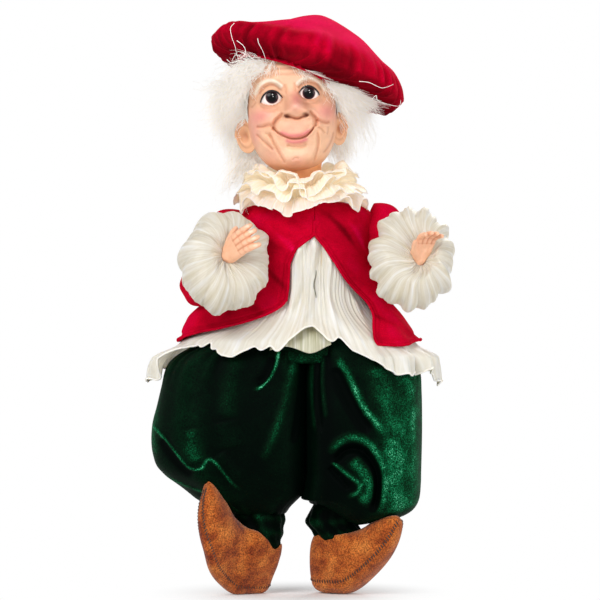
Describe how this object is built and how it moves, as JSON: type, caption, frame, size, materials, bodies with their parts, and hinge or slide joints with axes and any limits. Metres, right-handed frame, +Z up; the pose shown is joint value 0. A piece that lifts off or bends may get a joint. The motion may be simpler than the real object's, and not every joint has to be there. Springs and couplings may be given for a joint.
{
  "type": "elf doll",
  "caption": "Posable elf doll with resin head and hands, stuffed body, velvet beret and jacket, organza ruffles, green bloomers and curled shoes.",
  "frame": {"origin": "on the floor under the middle of the bounding box, between the shoes", "axes": "+Z up the body, -Y the way the doll faces, +X towards the left hand"},
  "size_m": [0.2429, 0.1846, 0.4598],
  "materials": {
    "resin": "painted satin resin",
    "eye": "polished",
    "mohair": "loose mohair fibre",
    "crimson_velvet": "short-pile velvet",
    "cream_organza": "crinkled organza",
    "green_velvet": "panne velvet",
    "suede": "mottled suede",
    "muslin": "plain weave",
    "steel": "drawn wire",
    "wood": "bare dowel"
  },
  "bodies": {
    "torso": {"torso_stuffing": "muslin", "spine_wire": "steel", "neck_post": "wood", "neck_tie": "muslin", "collar_lower_ruffle": "cream_organza", "collar_upper_ruffle": "cream_organza", "shirt_bodice": "cream_organza", "shirt_peplum": "cream_organza", "jacket_back": "crimson_velvet", "jacket_right_front": "crimson_velvet", "jacket_left_front": "crimson_velvet", "bloomer_seat": "green_velvet", "waist_elastic": "green_velvet"},
    "head": {"head_shell": "resin", "right_eye": "eye", "left_eye": "eye", "wig": "mohair", "beret_crown": "crimson_velvet", "beret_under_panel": "crimson_velvet", "beret_band": "crimson_velvet"},
    "right_upper_arm": {"right_jacket_sleeve": "crimson_velvet", "right_upper_arm": "muslin", "right_upper_arm_wire": "steel"},
    "right_forearm": {"right_puff_sleeve": "cream_organza", "right_wrist_elastic": "cream_organza", "right_forearm": "muslin", "right_forearm_wire": "steel", "right_hand": "resin"},
    "right_thigh": {"right_bloomer_leg": "green_velvet", "right_thigh": "muslin", "right_thigh_wire": "steel"},
    "right_shin": {"right_ankle_cuff": "green_velvet", "right_shin": "muslin", "right_shin_wire": "steel"},
    "right_foot": {"right_shoe_upper": "suede", "right_shoe_sole": "suede"},
    "left_upper_arm": {"left_jacket_sleeve": "crimson_velvet", "left_upper_arm": "muslin", "left_upper_arm_wire": "steel"},
    "left_forearm": {"left_puff_sleeve": "cream_organza", "left_wrist_elastic": "cream_organza", "left_forearm": "muslin", "left_forearm_wire": "steel", "left_hand": "resin"},
    "left_thigh": {"left_bloomer_leg": "green_velvet", "left_thigh": "muslin", "left_thigh_wire": "steel"},
    "left_shin": {"left_ankle_cuff": "green_velvet", "left_shin": "muslin", "left_shin_wire": "steel"},
    "left_foot": {"left_shoe_upper": "suede", "left_shoe_sole": "suede"}
  },
  "joints": [
    {"name": "head_turn", "type": "hinge", "parent": "torso", "child": "head", "pos_m": [0.0013, -0.0005, 0.306], "axis": [0, 0, 1], "range_deg": [-40, 40]},
    {"name": "right_shoulder", "type": "hinge", "parent": "torso", "child": "right_upper_arm", "pos_m": [-0.0547, -0.0005, 0.288], "axis": [0, 1, 0], "range_deg": [0, 50]},
    {"name": "right_elbow", "type": "hinge", "parent": "right_upper_arm", "child": "right_forearm", "pos_m": [-0.0757, -0.0105, 0.249], "axis": [-1, 0, 0], "range_deg": [-20, 8]},
    {"name": "right_hip", "type": "hinge", "parent": "torso", "child": "right_thigh", "pos_m": [-0.0327, -0.0005, 0.17], "axis": [-1, 0, 0], "range_deg": [-15, 20]},
    {"name": "right_knee", "type": "hinge", "parent": "right_thigh", "child": "right_shin", "pos_m": [-0.0327, -0.0045, 0.081], "axis": [1, 0, 0], "range_deg": [0, 30]},
    {"name": "right_ankle", "type": "hinge", "parent": "right_shin", "child": "right_foot", "pos_m": [-0.0327, -0.0045, 0.04], "axis": [0, 0, 1], "range_deg": [-10, 20]},
    {"name": "left_shoulder", "type": "hinge", "parent": "torso", "child": "left_upper_arm", "pos_m": [0.0663, -0.0005, 0.289], "axis": [0, -1, 0], "range_deg": [0, 50]},
    {"name": "left_elbow", "type": "hinge", "parent": "left_upper_arm", "child": "left_forearm", "pos_m": [0.0843, -0.0085, 0.25], "axis": [-1, 0, 0], "range_deg": [-20, 8]},
    {"name": "left_hip", "type": "hinge", "parent": "torso", "child": "left_thigh", "pos_m": [0.0333, -0.0005, 0.17], "axis": [-1, 0, 0], "range_deg": [-15, 20]},
    {"name": "left_knee", "type": "hinge", "parent": "left_thigh", "child": "left_shin", "pos_m": [0.0333, -0.0045, 0.074], "axis": [1, 0, 0], "range_deg": [0, 30]},
    {"name": "left_ankle", "type": "hinge", "parent": "left_shin", "child": "left_foot", "pos_m": [0.0333, -0.0045, 0.04], "axis": [0, 0, 1], "range_deg": [-20, 10]}
  ]
}
